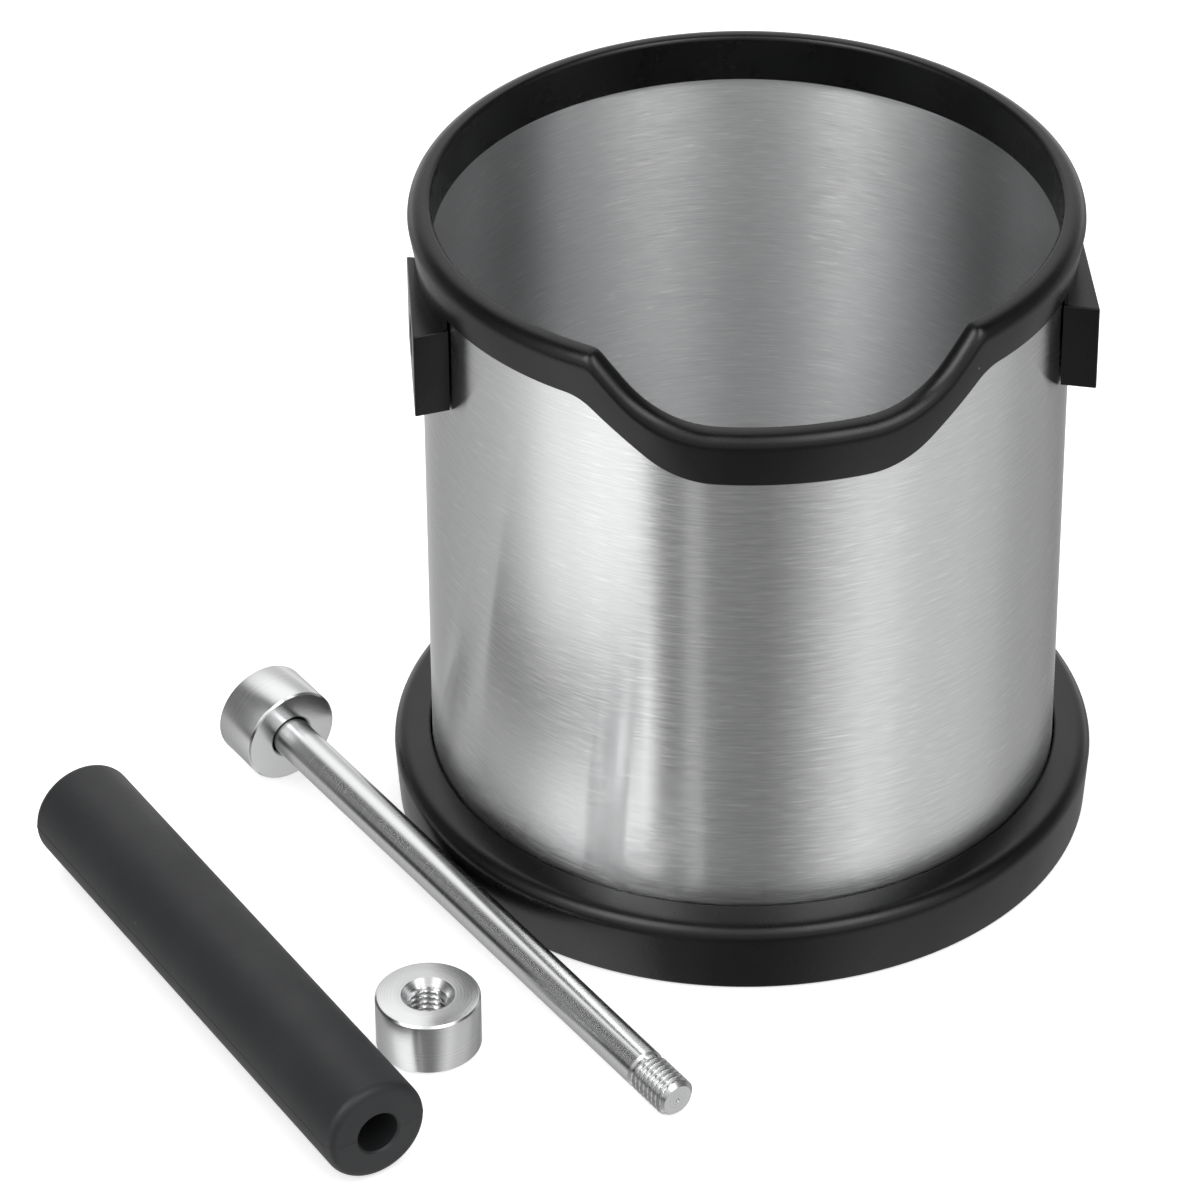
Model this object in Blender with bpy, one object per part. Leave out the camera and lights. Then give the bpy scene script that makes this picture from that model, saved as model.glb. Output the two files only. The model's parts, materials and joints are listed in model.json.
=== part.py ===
"""Espresso knock box with its knock bar taken out and lying in pieces beside it.

Frame: origin at the centre of the rubber boot's underside, +Z up, the notch in the
rim faces -Y (within a few degrees), the two bar lugs face +X and -X. Lengths are in
metres.
"""
import math

import bmesh
import bpy
from mathutils import Vector

MM = 0.001
GAP = 0.3 * MM                     # air left between two pieces that touch

# Steel cup
CUP_R = 61.3 * MM                  # outside of the wall
SHEET = 1.0 * MM                   # sheet thickness
CUP_BOTTOM_Z = 3.3 * MM

# Rubber boot under the cup
BOOT_FLOOR = 3.0 * MM
BOOT_TOP_Z = 14.9 * MM
BOOT_FOOT_R = 68.1 * MM
BOOT_SIDE_R = 68.8 * MM
BOOT_FOOT_CHAMFER = 0.6 * MM
BOOT_SHOULDER_R = 3.3 * MM
BOOT_LIP_DROP = 0.5 * MM           # the top face falls this much from wall to shoulder
BOOT_SHOULDER_DEG = 85.0           # sweep of the shoulder's rounding

# Rubber rim guard: a channel pushed over the wall's edge
RIM_OUTER_R = 63.5 * MM
RIM_LOWER_R = 62.4 * MM             # the outer leg tapers in to this at its lower edge
RIM_INNER_R = 59.0 * MM
RIM_TOP_Z = 135.2 * MM
RIM_WEB = 2.2 * MM                 # rubber above the sheet edge
RIM_ROUND_OUT = 3.6 * MM           # rounding of the top, outer side
RIM_ROUND_IN = 0.8 * MM            # rounding of the top, inner side
RIM_EDGE_R = 0.35 * MM             # rounding of the two lower edges
OUTER_BAND_Z = 125.3 * MM          # lower edge of the outer leg
INNER_SKIRT_Z = 125.3 * MM         # lower edge of the inner leg

# Notch in the front of the rim, measured along the unrolled wall
NOTCH_TURN_DEG = 3.0               # its middle sits this far round from -Y towards +X
NOTCH_HALF_FLOOR = 13.8 * MM
NOTCH_DEPTH = 13.0 * MM
NOTCH_TOP_CURVE = (25.0 * MM, 2.5 * MM, 44.5)      # hollow radius, shoulder radius, slope in degrees
NOTCH_LEG_DEPTH = 14.1 * MM
NOTCH_LEG_CURVE = (21.0 * MM, 9.0 * MM, 37.0)

# Rubber lugs that carry the knock bar
LUG_FACE_X = 63.7 * MM
LUG_FRONT_Y = -24.9 * MM           # ends of the flat outer face
LUG_BACK_Y = 3.9 * MM
LUG_FLARE_DEG = 15.0               # the end faces lean out by this much
LUG_BOTTOM_Z = 104.6 * MM
LUG_TOP_Z = 122.2 * MM
LUG_EDGE = 0.4 * MM                # chamfer round the flat outer face
NECK_R = 62.3 * MM                 # outer radius of the web that joins a lug to the rim's band
NECK_GAP = 0.1 * MM                # between that web and the band
BAR_Y = -10.5 * MM                 # the bar's axis when it is fitted
BAR_Z = 113.4 * MM
BAR_HOLE_R = 4.3 * MM

# Knock bar
ROD_R = 4.0 * MM
ROD_LENGTH = 130.3 * MM            # from the head's seat to the threaded tip
ROD_SPIGOT = 7.5 * MM              # part of the rod inside the head
TIP_CHAMFER = 0.9 * MM
RELIEF_LENGTH = 0.85 * MM          # groove behind the thread
RELIEF_DEPTH = 0.45 * MM
THREAD_PITCH = 1.25 * MM
THREAD_LENGTH = 9.1 * MM
THREAD_DEPTH = 0.65 * MM
THREAD_FLAT = 0.15                 # flats at root and crest, as a share of the flank's height
KNOB_R = 10.0 * MM
KNOB_LENGTH = 11.2 * MM
KNOB_CHAMFER = 0.4 * MM
COUNTERSINK_R = 5.1 * MM
COUNTERSINK_DEPTH = 1.5 * MM
NUT_MINOR_R = 3.35 * MM
NUT_MAJOR_R = 4.05 * MM
SLEEVE_R = 10.3 * MM
SLEEVE_BORE_R = 4.15 * MM
SLEEVE_LENGTH = 117.0 * MM
SLEEVE_END_R = 1.9 * MM
SLEEVE_DOME = 0.3 * MM             # the end faces bulge this much

# Where the loose pieces lie: x, y of the reference point and heading of the axis
ROD_AT = (-89.15 * MM, 5.95 * MM)
ROD_HEADING = -58.35
NUT_AT = (-65.8 * MM, -79.2 * MM)
SLEEVE_AT = (-131.0 * MM, -14.35 * MM)
SLEEVE_HEADING = -62.2

# Facets
RING_STEPS = 96
BOOT_STEPS = 72
KNOB_STEPS = 32
ROD_STEPS = 24
ROWS_PER_PITCH = 5
ARC_STEP_DEG = 22.5
LUG_BACK_STEPS = 14
LUG_BACK_ROUNDS = 8                # repeats that settle where an end face meets the wall
SHARP_EDGE_DEG = 35.0


def clear_scene():
    for thing in list(bpy.data.objects):
        bpy.data.objects.remove(thing, do_unlink=True)


def material(name, colour, roughness, metallic):
    made = bpy.data.materials.new(name)
    made.use_nodes = True
    shader = made.node_tree.nodes["Principled BSDF"]
    shader.inputs["Base Color"].default_value = (*colour, 1.0)
    shader.inputs["Roughness"].default_value = roughness
    shader.inputs["Metallic"].default_value = metallic
    return made


def link_mesh(name, bm, look):
    bmesh.ops.remove_doubles(bm, verts=bm.verts, dist=1e-7)
    bmesh.ops.recalc_face_normals(bm, faces=bm.faces)
    mesh = bpy.data.meshes.new(name)
    bm.to_mesh(mesh)
    bm.free()
    mesh.shade_smooth()
    mesh.set_sharp_from_angle(angle=math.radians(SHARP_EDGE_DEG))
    mesh.materials.append(look)
    made = bpy.data.objects.new(name, mesh)
    bpy.context.collection.objects.link(made)
    return made


def arc(centre_r, centre_z, radius, start_deg, end_deg):
    """Points (r, z) along a circular arc, ends included."""
    count = max(2, math.ceil(abs(end_deg - start_deg) / ARC_STEP_DEG))
    points = []
    for index in range(count + 1):
        angle = math.radians(start_deg + (end_deg - start_deg) * index / count)
        points.append((centre_r + radius * math.cos(angle), centre_z + radius * math.sin(angle)))
    return points


def lofted(name, section, steps, look, closed):
    """Carry a section (r, z) round the Z axis. section(angle) may change with the
    angle but keeps its number of points. A closed section makes a ring; an open
    one starts and ends on the axis and makes a solid."""
    bm = bmesh.new()
    rings = []
    for step in range(steps):
        angle = 2.0 * math.pi * step / steps
        ring = [bm.verts.new((r * math.cos(angle), r * math.sin(angle), z)) for r, z in section(angle)]
        rings.append(ring)
    count = len(rings[0])
    last = count if closed else count - 1
    for step in range(steps):
        here, there = rings[step], rings[(step + 1) % steps]
        for index in range(last):
            after = (index + 1) % count
            bm.faces.new((here[index], there[index], there[after], here[after]))
    return link_mesh(name, bm, look)


def turned(name, profile, steps, look, closed=True):
    return lofted(name, lambda angle: profile, steps, look, closed)


def notch_drop(along, depth, curve):
    """How far an edge lies below the rim's level at a distance along the wall from
    the notch's middle: a flat floor, a hollow arc, a straight slope and a shoulder."""
    hollow_r, shoulder_r, slope_deg = curve
    slope = math.radians(slope_deg)
    straight = (depth - (hollow_r + shoulder_r) * (1.0 - math.cos(slope))) / math.sin(slope)
    hollow_run = hollow_r * math.sin(slope)
    straight_run = straight * math.cos(slope)
    shoulder_run = shoulder_r * math.sin(slope)
    run = abs(along) - NOTCH_HALF_FLOOR
    if run <= 0.0:
        return depth
    if run <= hollow_run:
        return depth - (hollow_r - math.sqrt(hollow_r ** 2 - run ** 2))
    run -= hollow_run
    if run <= straight_run:
        return depth - hollow_r * (1.0 - math.cos(slope)) - run * math.tan(slope)
    left = shoulder_run - (run - straight_run)
    if left <= 0.0:
        return 0.0
    return shoulder_r - math.sqrt(shoulder_r ** 2 - left ** 2)


def along_wall(angle):
    """Distance along the wall from the notch's middle."""
    middle = math.radians(NOTCH_TURN_DEG - 90.0)
    turn = (angle - middle + math.pi) % (2.0 * math.pi) - math.pi
    return turn * CUP_R


def rim_top_z(angle):
    return RIM_TOP_Z - notch_drop(along_wall(angle), NOTCH_DEPTH, NOTCH_TOP_CURVE)


def leg_drop(angle):
    return notch_drop(along_wall(angle), NOTCH_LEG_DEPTH, NOTCH_LEG_CURVE)


def wall_top_z(angle):
    return rim_top_z(angle) - RIM_WEB - GAP


def cut_bar_holes(target):
    """Bore the bar's two holes through the target, parallel to the X axis."""
    bm = bmesh.new()
    bmesh.ops.create_cone(bm, cap_ends=True, segments=ROD_STEPS, radius1=BAR_HOLE_R,
                          radius2=BAR_HOLE_R, depth=4.0 * CUP_R)
    mesh = bpy.data.meshes.new("bar_hole_cutter")
    bm.to_mesh(mesh)
    bm.free()
    cutter = bpy.data.objects.new("bar_hole_cutter", mesh)
    bpy.context.collection.objects.link(cutter)
    cutter.location = (0.0, BAR_Y, BAR_Z)
    cutter.rotation_euler = (0.0, math.pi / 2.0, 0.0)
    cutter.hide_render = True
    cutter.display_type = "WIRE"
    cut = target.modifiers.new("bar_holes", "BOOLEAN")
    cut.object = cutter
    cut.operation = "DIFFERENCE"
    cut.solver = "EXACT"


def build_boot(rubber):
    """Shallow rubber dish that the cup stands in."""
    inner_r = CUP_R + GAP
    shoulder_r = BOOT_SIDE_R - BOOT_SHOULDER_R
    shoulder_z = BOOT_TOP_Z - BOOT_LIP_DROP - BOOT_SHOULDER_R
    profile = [(0.0, BOOT_FLOOR), (inner_r, BOOT_FLOOR), (inner_r, BOOT_TOP_Z - BOOT_FOOT_CHAMFER)]
    profile.append((inner_r + BOOT_FOOT_CHAMFER, BOOT_TOP_Z))
    profile += reversed(arc(shoulder_r, shoulder_z, BOOT_SHOULDER_R, 0.0, BOOT_SHOULDER_DEG))
    profile += [(BOOT_FOOT_R, BOOT_FOOT_CHAMFER), (BOOT_FOOT_R - BOOT_FOOT_CHAMFER, 0.0), (0.0, 0.0)]
    return turned("base_boot", profile, BOOT_STEPS, rubber, closed=False)


def build_cup_wall(steel):
    """Rolled sheet drum, its upper edge cut to the rim's outline."""
    inner_r = CUP_R - SHEET

    def section(angle):
        top = wall_top_z(angle)
        return [(CUP_R, top), (CUP_R, CUP_BOTTOM_Z), (inner_r, CUP_BOTTOM_Z), (inner_r, top)]

    wall = lofted("cup_wall", section, RING_STEPS, steel, closed=True)
    cut_bar_holes(wall)
    return wall


def build_cup_floor(steel):
    """Disc that closes the drum."""
    radius = CUP_R - SHEET - GAP
    top = CUP_BOTTOM_Z + SHEET
    profile = [(0.0, top), (radius, top), (radius, CUP_BOTTOM_Z), (0.0, CUP_BOTTOM_Z)]
    return turned("cup_floor", profile, BOOT_STEPS, steel, closed=False)


def build_rim_guard(rubber):
    """Rubber channel over the drum's edge: outer band, rounded top, inner skirt."""
    slot_out = CUP_R + GAP
    slot_in = CUP_R - SHEET - GAP

    def section(angle):
        top = rim_top_z(angle)
        band = OUTER_BAND_Z - leg_drop(angle)
        skirt = INNER_SKIRT_Z - leg_drop(angle)
        slot_top = wall_top_z(angle) + GAP
        points = [(slot_out, slot_top), (slot_out, band)]
        points += arc(RIM_LOWER_R - RIM_EDGE_R, band + RIM_EDGE_R, RIM_EDGE_R, -90.0, 0.0)
        points += arc(RIM_OUTER_R - RIM_ROUND_OUT, top - RIM_ROUND_OUT, RIM_ROUND_OUT, 0.0, 90.0)
        points += arc(RIM_INNER_R + RIM_ROUND_IN, top - RIM_ROUND_IN, RIM_ROUND_IN, 90.0, 180.0)
        points += arc(RIM_INNER_R + RIM_EDGE_R, skirt + RIM_EDGE_R, RIM_EDGE_R, 180.0, 270.0)
        points += [(slot_in, skirt), (slot_in, slot_top)]
        return points

    return lofted("rim_guard", section, RING_STEPS, rubber, closed=True)


def lug_wall_angle(face_y, back_r):
    """Where round the wall an end face arrives that leans in from the flat face's end."""
    lean = math.copysign(math.tan(math.radians(LUG_FLARE_DEG)), face_y)
    wall_y = face_y
    for _ in range(LUG_BACK_ROUNDS):
        wall_y = face_y - lean * (LUG_FACE_X - math.sqrt(back_r ** 2 - wall_y ** 2))
    return math.asin(wall_y / back_r)


def lug_shell(outline, side, neck_r, neck_top):
    """Block between the lug's bottom and top, with a thin web up the wall behind it. The outline
    starts with the flat face's two ends and goes on along the wall."""
    low = []
    high = []
    for x, y in outline:
        low.append((side * x, y, LUG_BOTTOM_Z))
        high.append((side * x, y, LUG_TOP_Z))
    web = range(3, len(outline) - 1)
    web_foot = []
    web_back = []
    web_front = []
    for index in web:
        x, y = outline[index]
        grow = neck_r / math.hypot(x, y)
        web_foot.append((side * x * grow, y * grow, LUG_TOP_Z))
        web_back.append((side * x, y, neck_top))
        web_front.append((side * x * grow, y * grow, neck_top))
    bm = bmesh.new()
    low, high, web_foot, web_back, web_front = [
        [bm.verts.new(point) for point in row] for row in (low, high, web_foot, web_back, web_front)]
    wall = [high[index] for index in web]
    bm.faces.new(low)
    bm.faces.new(high[:4] + web_foot + high[-2:])
    for here in range(len(low)):
        there = (here + 1) % len(low)
        bm.faces.new((low[here], low[there], high[there], high[here]))
    for here in range(len(wall) - 1):
        there = here + 1
        bm.faces.new((wall[here], wall[there], web_back[there], web_back[here]))
        bm.faces.new((web_foot[here], web_foot[there], web_front[there], web_front[here]))
        bm.faces.new((web_back[here], web_back[there], web_front[there], web_front[here]))
    for end in (0, -1):
        bm.faces.new((wall[end], web_foot[end], web_front[end], web_back[end]))
    bmesh.ops.recalc_face_normals(bm, faces=bm.faces)
    return bm


def build_lug(name, side, rubber):
    """Block with a flat outer face, hollowed to the wall behind and bored for the bar."""
    back_r = CUP_R + GAP
    front_angle = lug_wall_angle(LUG_FRONT_Y, back_r)
    back_angle = lug_wall_angle(LUG_BACK_Y, back_r)
    outline = [(LUG_FACE_X, LUG_FRONT_Y), (LUG_FACE_X, LUG_BACK_Y)]
    for index in range(LUG_BACK_STEPS + 1):
        angle = back_angle + (front_angle - back_angle) * index / LUG_BACK_STEPS
        outline.append((back_r * math.cos(angle), back_r * math.sin(angle)))
    bm = lug_shell(outline, side, NECK_R, OUTER_BAND_Z - NECK_GAP)
    rounded = [edge for edge in bm.edges if all(abs(abs(v.co.x) - LUG_FACE_X) < 1e-6 for v in edge.verts)]
    bmesh.ops.bevel(bm, geom=rounded, offset=LUG_EDGE, segments=1, affect="EDGES")
    lug = link_mesh(name, bm, rubber)
    cut_bar_holes(lug)
    return lug


def thread_form(turns):
    """Height of a 60 degree thread's flank, 0 at the root and 1 at the crest."""
    phase = turns - math.floor(turns)
    height = 1.0 - abs(2.0 * phase - 1.0)
    return min(1.0, max(0.0, (height - THREAD_FLAT) / (1.0 - 2.0 * THREAD_FLAT)))


def build_rod(steel):
    """Ground rod with a spigot at the head end and a thread at the tip."""
    tip_z = ROD_LENGTH
    thread_end = tip_z - TIP_CHAMFER
    thread_start = tip_z - THREAD_LENGTH
    rows = math.ceil((thread_end - thread_start) / THREAD_PITCH * ROWS_PER_PITCH)
    relief_r = ROD_R - RELIEF_DEPTH

    def section(angle):
        points = [(0.0, -ROD_SPIGOT), (ROD_R, -ROD_SPIGOT)]
        relief_start = thread_start - RELIEF_LENGTH
        points += [(ROD_R, relief_start - RELIEF_DEPTH), (relief_r, relief_start), (relief_r, thread_start)]
        for row in range(1, rows + 1):
            z = thread_start + (thread_end - thread_start) * row / rows
            form = thread_form(z / THREAD_PITCH - angle / (2.0 * math.pi))
            points.append((ROD_R - THREAD_DEPTH * (1.0 - form), z))
        points += [(ROD_R - THREAD_DEPTH - TIP_CHAMFER / 2.0, tip_z), (0.0, tip_z)]
        return points

    return lofted("bar_rod", section, ROD_STEPS, steel, closed=False)


def build_head(steel):
    """Turned knob fixed on the rod's plain end; its seat is at local z = 0."""
    bore_r = ROD_R + GAP
    bore_end = -(ROD_SPIGOT + GAP)
    back = -KNOB_LENGTH
    profile = [(0.0, bore_end), (bore_r, bore_end), (bore_r, 0.0), (KNOB_R - KNOB_CHAMFER, 0.0)]
    profile += [(KNOB_R, -KNOB_CHAMFER), (KNOB_R, back + KNOB_CHAMFER)]
    profile += [(KNOB_R - KNOB_CHAMFER, back), (0.0, back)]
    return turned("bar_head", profile, KNOB_STEPS, steel, closed=False)


def build_nut(steel):
    """Turned knob with a threaded hole right through and a countersink at each mouth."""
    start = COUNTERSINK_DEPTH
    end = KNOB_LENGTH - COUNTERSINK_DEPTH
    rows = math.ceil((end - start) / THREAD_PITCH * ROWS_PER_PITCH)

    def section(angle):
        points = [(COUNTERSINK_R, 0.0), (KNOB_R - KNOB_CHAMFER, 0.0), (KNOB_R, KNOB_CHAMFER)]
        points += [(KNOB_R, KNOB_LENGTH - KNOB_CHAMFER), (KNOB_R - KNOB_CHAMFER, KNOB_LENGTH)]
        points.append((COUNTERSINK_R, KNOB_LENGTH))
        for row in range(rows + 1):
            z = end + (start - end) * row / rows
            form = thread_form(z / THREAD_PITCH - angle / (2.0 * math.pi))
            points.append((NUT_MINOR_R + (NUT_MAJOR_R - NUT_MINOR_R) * form, z))
        return points

    return lofted("bar_nut", section, KNOB_STEPS, steel, closed=True)


def build_sleeve(rubber):
    """Rubber tube that slides over the rod, with soft ends."""
    round_at = SLEEVE_R - SLEEVE_END_R
    far = SLEEVE_LENGTH - SLEEVE_DOME
    profile = [(SLEEVE_BORE_R, 0.0)]
    profile += arc(round_at, SLEEVE_DOME + SLEEVE_END_R, SLEEVE_END_R, -90.0, 0.0)
    profile += arc(round_at, far - SLEEVE_END_R, SLEEVE_END_R, 0.0, 90.0)
    profile.append((SLEEVE_BORE_R, SLEEVE_LENGTH))
    return turned("bar_sleeve", profile, KNOB_STEPS, rubber, closed=True)


def lay_down(pieces, at, height, heading_deg, dip):
    """Turn pieces modelled along +Z so that their axis points along a heading, dipping
    a little, with the local origin at the given place and height."""
    for piece in pieces:
        piece.rotation_euler = (0.0, math.pi / 2.0 + dip, math.radians(heading_deg))
        piece.location = Vector((at[0], at[1], height))


def main():
    clear_scene()
    rubber = material("black_rubber", (0.018, 0.018, 0.020), 0.5, 0.0)
    brushed = material("brushed_steel", (0.62, 0.61, 0.59), 0.32, 1.0)
    bright = material("turned_steel", (0.66, 0.65, 0.63), 0.24, 1.0)

    build_boot(rubber)
    build_cup_wall(brushed)
    build_cup_floor(brushed)
    build_rim_guard(rubber)
    build_lug("lug_right", 1.0, rubber)
    build_lug("lug_left", -1.0, rubber)

    rod = build_rod(bright)
    head = build_head(bright)
    dip = math.asin((KNOB_R - ROD_R) / ROD_LENGTH)
    lay_down([rod, head], ROD_AT, KNOB_R * math.cos(dip), ROD_HEADING, dip)

    nut = build_nut(bright)
    nut.location = (NUT_AT[0], NUT_AT[1], 0.0)

    sleeve = build_sleeve(rubber)
    lay_down([sleeve], SLEEVE_AT, SLEEVE_R, SLEEVE_HEADING, 0.0)


main()
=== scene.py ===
import json
import math

import bmesh
import bpy
from mathutils import Matrix, Vector


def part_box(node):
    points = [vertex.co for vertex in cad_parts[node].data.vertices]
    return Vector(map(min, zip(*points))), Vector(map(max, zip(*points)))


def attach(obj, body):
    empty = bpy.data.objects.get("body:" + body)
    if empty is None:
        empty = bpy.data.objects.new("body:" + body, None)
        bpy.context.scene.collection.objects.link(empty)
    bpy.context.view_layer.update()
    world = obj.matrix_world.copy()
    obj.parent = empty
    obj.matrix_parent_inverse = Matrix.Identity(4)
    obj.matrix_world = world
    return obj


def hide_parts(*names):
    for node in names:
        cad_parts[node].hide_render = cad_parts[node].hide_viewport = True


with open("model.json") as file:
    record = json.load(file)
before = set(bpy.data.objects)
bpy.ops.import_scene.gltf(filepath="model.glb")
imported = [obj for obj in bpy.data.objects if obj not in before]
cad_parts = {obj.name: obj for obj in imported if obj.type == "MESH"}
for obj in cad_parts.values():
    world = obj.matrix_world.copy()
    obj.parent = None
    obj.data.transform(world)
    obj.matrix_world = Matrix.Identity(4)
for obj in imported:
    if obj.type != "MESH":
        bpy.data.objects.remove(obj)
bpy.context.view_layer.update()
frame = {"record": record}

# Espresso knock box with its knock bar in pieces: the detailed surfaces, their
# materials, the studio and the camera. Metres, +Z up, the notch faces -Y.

MM = 0.001

# ---------------------------------------------------------------------------
# Sizes read from the frame
# ---------------------------------------------------------------------------
CUP_LOW, CUP_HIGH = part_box("cup_wall")
_, RIM_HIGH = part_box("rim_guard")
_, BOOT_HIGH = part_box("base_boot")
FLOOR_LOW, FLOOR_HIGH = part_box("cup_floor")
HEAD_LOW, HEAD_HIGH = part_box("bar_head")
NUT_LOW, NUT_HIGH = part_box("bar_nut")
SLEEVE_LOW, SLEEVE_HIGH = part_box("bar_sleeve")
LUG_LOW, LUG_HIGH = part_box("lug_right")
MOUNTS = {mount["name"]: mount for mount in frame["record"]["mounts"]}

CUP_R = CUP_HIGH.x
CUP_BOTTOM_Z = CUP_LOW.z
SHEET = FLOOR_HIGH.z - FLOOR_LOW.z
RIM_OUTER_R = RIM_HIGH.x
RIM_TOP_Z = RIM_HIGH.z
BOOT_SIDE_R = BOOT_HIGH.x
BOOT_TOP_Z = BOOT_HIGH.z
LUG_FACE_X = LUG_HIGH.x
LUG_FRONT_Y, LUG_BACK_Y = LUG_LOW.y, LUG_HIGH.y
LUG_BOTTOM_Z = LUG_LOW.z
KNOB_R = (NUT_HIGH.x - NUT_LOW.x) / 2.0
KNOB_LENGTH = NUT_HIGH.z - NUT_LOW.z
SLEEVE_R = (SLEEVE_HIGH.z - SLEEVE_LOW.z) / 2.0
BAR_Y = (LUG_FRONT_Y + LUG_BACK_Y) / 2.0
BAR_Z = MOUNTS["lug_right_face"]["pos_m"][2]

# ---------------------------------------------------------------------------
# Sizes of the details
# ---------------------------------------------------------------------------
GAP = 0.3 * MM
WELD = 1e-7                         # vertices closer than this are one
FLAT_TOLERANCE = 1e-6
BORE_LENGTH = 4.0 * CUP_R           # long enough to pass both lugs and the wall between
WALL_EDGE_R = 0.25 * MM

BOOT_FLOOR = 3.0 * MM
BOOT_FOOT_DRAFT = 0.7 * MM
BOOT_FOOT_ROUND = 0.6 * MM
BOOT_SHOULDER_R = 3.3 * MM
BOOT_SHOULDER_DEG = 84.0            # the shoulder's arc stops short of level, so the lip slopes
BOOT_LIP_DROP = 0.5 * MM
BOOT_LIP_R = 0.5 * MM
CUP_FLOOR_ROUND = 0.2 * MM

RIM_INNER_R = 59.0 * MM
RIM_LOWER_R = 62.4 * MM
RIM_WEB = 2.2 * MM
RIM_ROUND_OUT = 3.3 * MM
RIM_ROUND_IN = 1.2 * MM
RIM_EDGE_R = 0.35 * MM
OUTER_BAND_Z = 125.3 * MM
INNER_SKIRT_Z = 125.3 * MM
RIM_WAVE = 0.12 * MM                # soft rubber never runs quite true
RIM_WAVES = ((3.0, 1.0, 1.0), (7.0, 2.0, 0.6))      # waves round the rim, share of the phase, strength
BAND_PHASE = 0.4
SKIRT_PHASE = 2.1

NOTCH_TURN_DEG = 3.0
NOTCH_HALF_FLOOR = 13.8 * MM
NOTCH_DEPTH = 12.8 * MM
NOTCH_TOP_CURVE = (25.0 * MM, 2.5 * MM, 44.5)       # hollow radius, shoulder radius, slope in degrees
NOTCH_LEG_DEPTH = 14.1 * MM
NOTCH_LEG_CURVE = (21.0 * MM, 9.0 * MM, 37.0)

LUG_TOP_Z = 122.2 * MM
LUG_FLARE_DEG = 15.0
LUG_BACK_STEPS = 60
LUG_BACK_ROUNDS = 8                 # repeats that settle where an end face meets the wall
LUG_EDGE = 0.35 * MM
NECK_R = 62.3 * MM
NECK_LAP = 0.2 * MM                 # how far the web runs up into the rim's band
BAR_HOLE_R = 4.3 * MM

ROD_R = 4.0 * MM
ROD_LENGTH = 130.3 * MM
ROD_SPIGOT = 7.5 * MM
RELIEF_LENGTH = 0.85 * MM
RELIEF_DEPTH = 0.45 * MM
THREAD_PITCH = 1.25 * MM
THREAD_LENGTH = 9.1 * MM
THREAD_DEPTH = 0.65 * MM
THREAD_FLAT = 0.15                  # part of the thread's height cut off flat at the root, and at the crest
TIP_INSET = 0.25 * MM               # the tip's chamfer ends this far inside the thread's root
CENTRE_DOT_R = 0.45 * MM            # the turning centre's dimple in the tip
KNOB_CHAMFER = 0.4 * MM
KNOB_SOFT = 0.12 * MM               # the chamfer's own corners are broken this far along each face
KNOB_SOFT_DROP = 0.3 * KNOB_SOFT
HEAD_LEAD = 0.35 * MM               # chamfer at the mouth of the head's bore
COUNTERSINK_R = 5.1 * MM
COUNTERSINK_DEPTH = 1.5 * MM
NUT_MINOR_R = 3.35 * MM
NUT_MAJOR_R = 4.05 * MM
SLEEVE_LENGTH = 117.0 * MM
SLEEVE_HEADING = -62.2
SLEEVE_BORE_R = 4.15 * MM
SLEEVE_END_R = 1.9 * MM
SLEEVE_DOME = 0.3 * MM
SLEEVE_MOUTH = 0.4 * MM
SLEEVE_ROWS = (0.3, 0.7)            # rings along the tube, as shares of its length
PARTING_RIDGE = 0.10 * MM
PARTING_SINE = 0.02                 # half the ridge's width over the sleeve's radius
PARTING_GROOVE = 0.16 * MM
GROOVE_SINE = 0.03

SMOOTH_DEG = 40.0                   # steeper edges than this are shaded sharp
ROD_SMOOTH_DEG = 30.0
KNOB_SMOOTH_DEG = 25.0
LUG_EDGE_STEPS = 4
RING_STEPS = 480
TURNED_STEPS = 160
THREAD_STEPS = 96
ROWS_PER_PITCH = 20
ARC_STEP_DEG = 9.0


# ---------------------------------------------------------------------------
# Mesh tools
# ---------------------------------------------------------------------------
def mesh_object(name, bm, material, sharp_deg=SMOOTH_DEG):
    bmesh.ops.remove_doubles(bm, verts=bm.verts, dist=WELD)
    bmesh.ops.recalc_face_normals(bm, faces=bm.faces)
    mesh = bpy.data.meshes.new(name)
    bm.to_mesh(mesh)
    bm.free()
    mesh.shade_smooth()
    mesh.set_sharp_from_angle(angle=math.radians(sharp_deg))
    mesh.materials.append(material)
    made = bpy.data.objects.new(name, mesh)
    bpy.context.collection.objects.link(made)
    return made


def arc(centre_r, centre_z, radius, start_deg, end_deg):
    """Points (r, z) along a circular arc, ends included."""
    count = max(3, math.ceil(abs(end_deg - start_deg) / ARC_STEP_DEG))
    points = []
    for index in range(count + 1):
        angle = math.radians(start_deg + (end_deg - start_deg) * index / count)
        points.append((centre_r + radius * math.cos(angle), centre_z + radius * math.sin(angle)))
    return points


def lofted(name, section, steps, material, closed, sharp_deg=SMOOTH_DEG):
    """Carry a section (r, z) round the Z axis; section(angle) may change with the angle."""
    bm = bmesh.new()
    rings = []
    for step in range(steps):
        angle = 2.0 * math.pi * step / steps
        rings.append([bm.verts.new((r * math.cos(angle), r * math.sin(angle), z)) for r, z in section(angle)])
    count = len(rings[0])
    last = count if closed else count - 1
    for step in range(steps):
        here, there = rings[step], rings[(step + 1) % steps]
        for index in range(last):
            after = (index + 1) % count
            bm.faces.new((here[index], there[index], there[after], here[after]))
    return mesh_object(name, bm, material, sharp_deg)


def turned(name, profile, steps, material, closed=True, sharp_deg=SMOOTH_DEG):
    return lofted(name, lambda angle: profile, steps, material, closed, sharp_deg)


def along_axis(direction):
    """Rotation that turns +Z to a direction, keeping local X level."""
    axis = Vector(direction).normalized()
    level = Vector((-axis.y, axis.x, 0.0)).normalized()
    return Matrix((level, axis.cross(level), axis)).transposed().to_4x4()


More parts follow.
